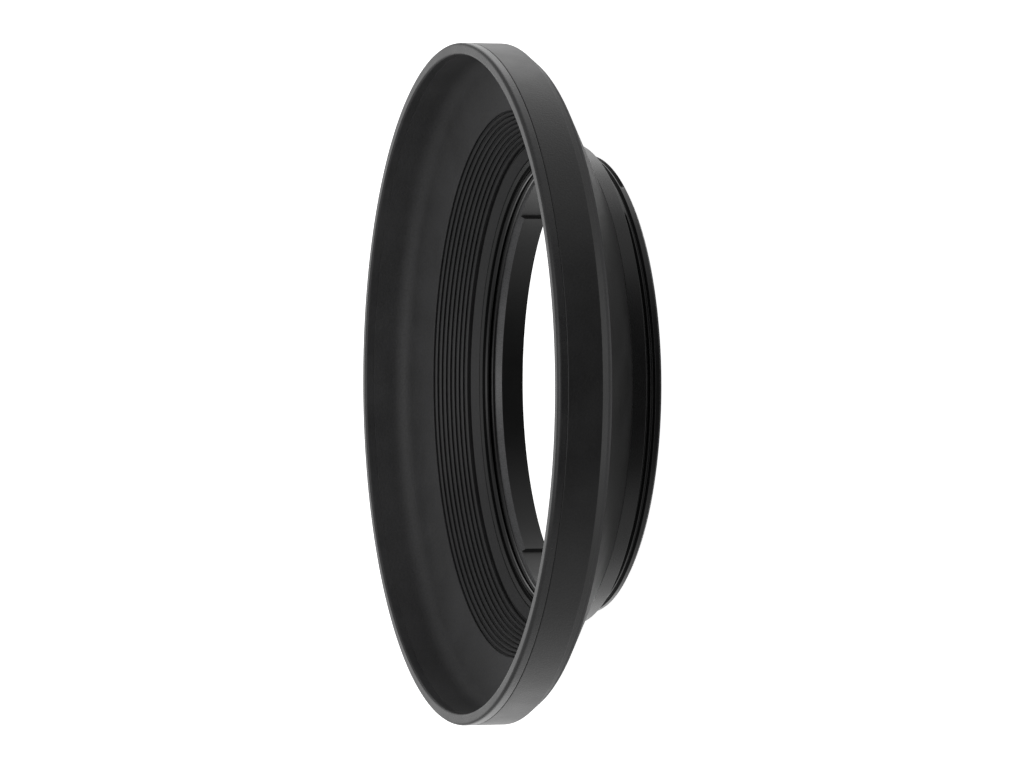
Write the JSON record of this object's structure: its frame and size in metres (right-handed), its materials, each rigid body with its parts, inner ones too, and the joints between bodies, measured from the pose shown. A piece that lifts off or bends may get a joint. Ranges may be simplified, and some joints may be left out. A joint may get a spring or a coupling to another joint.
{
  "type": "lens hood",
  "caption": "Round wide-angle lens hood: shallow black shade with a ribbed conical inside and a short male thread at the rear that screws into a lens's filter thread.",
  "frame": {"origin": "on the hood's axis, in the plane of the rear end of the male thread, which is the face the hood stands on when it is put down front up", "axes": "+Z along the hood's axis from the thread to the front lip, towards the subject; +X through the middle of one of the two recesses in the rear bore, so that the two lands of the bore lie on +Y and -Y"},
  "size_m": [0.099, 0.099, 0.0206],
  "materials": {
    "satin_black_shade": "satin black, fine sprayed texture",
    "satin_black_bead": "satin black, slightly polished by handling",
    "matte_black_baffle": "matte black, turned grooves",
    "gloss_black_trap": "semi-gloss black, turned ridges",
    "gloss_black_mount": "semi-gloss black anodised"
  },
  "bodies": {
    "root": {"shade_body": "satin_black_shade", "front_bead": "satin_black_bead", "ribbed_baffle": "matte_black_baffle", "light_trap_ring": "gloss_black_trap", "threaded_mount_ring": "gloss_black_mount"}
  },
  "joints": []
}
